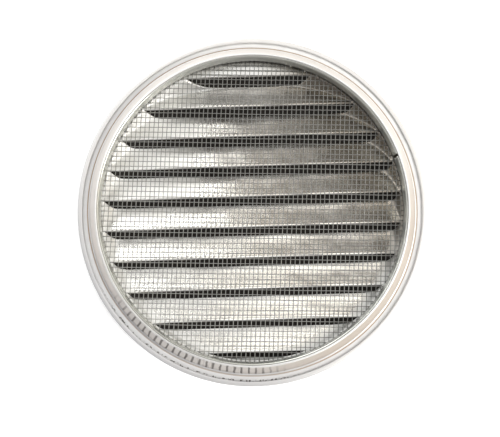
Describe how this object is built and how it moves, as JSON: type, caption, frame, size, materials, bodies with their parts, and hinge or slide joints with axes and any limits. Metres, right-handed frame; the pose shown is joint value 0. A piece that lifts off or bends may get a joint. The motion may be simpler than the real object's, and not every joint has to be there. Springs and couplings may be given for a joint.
{
  "type": "round louvred vent",
  "caption": "Round pressed-aluminium louvre vent with an insect screen, a split ring that holds it, and a tapered collar that pushes into a round hole.",
  "frame": {"origin": "on the vent's axis, in the plane of the hemmed rim that bears on the ceiling", "axes": "+Z out of the back of the vent, into the duct; -Z is the louvred face, into the room; +X along the louvres; +Y the way the louvres' mouths open"},
  "size_m": [0.1098, 0.1098, 0.009],
  "materials": {
    "pressed_aluminium": "bright mill finish",
    "collar_aluminium": "satin, with crimp marks",
    "ring_aluminium": "polished strip",
    "screen_wire": "bright drawn wire"
  },
  "bodies": {
    "housing": {"louvre_plate": "pressed_aluminium", "collar_ring": "collar_aluminium"},
    "ring": {"retaining_ring": "ring_aluminium"},
    "screen": {"screen_warp_wires": "screen_wire", "screen_weft_wires": "screen_wire"}
  },
  "joints": [
    {"name": "ring_lift", "type": "slide", "parent": "housing", "child": "ring", "axis": [0, 0, 1], "range_m": [0, 0.016]},
    {"name": "screen_lift", "type": "slide", "parent": "housing", "child": "screen", "axis": [0, 0, 1], "range_m": [0, 0.008]}
  ],
  "couplings": [
    {"joint": "screen_lift", "follows": "ring_lift", "ratio": 0.5}
  ]
}
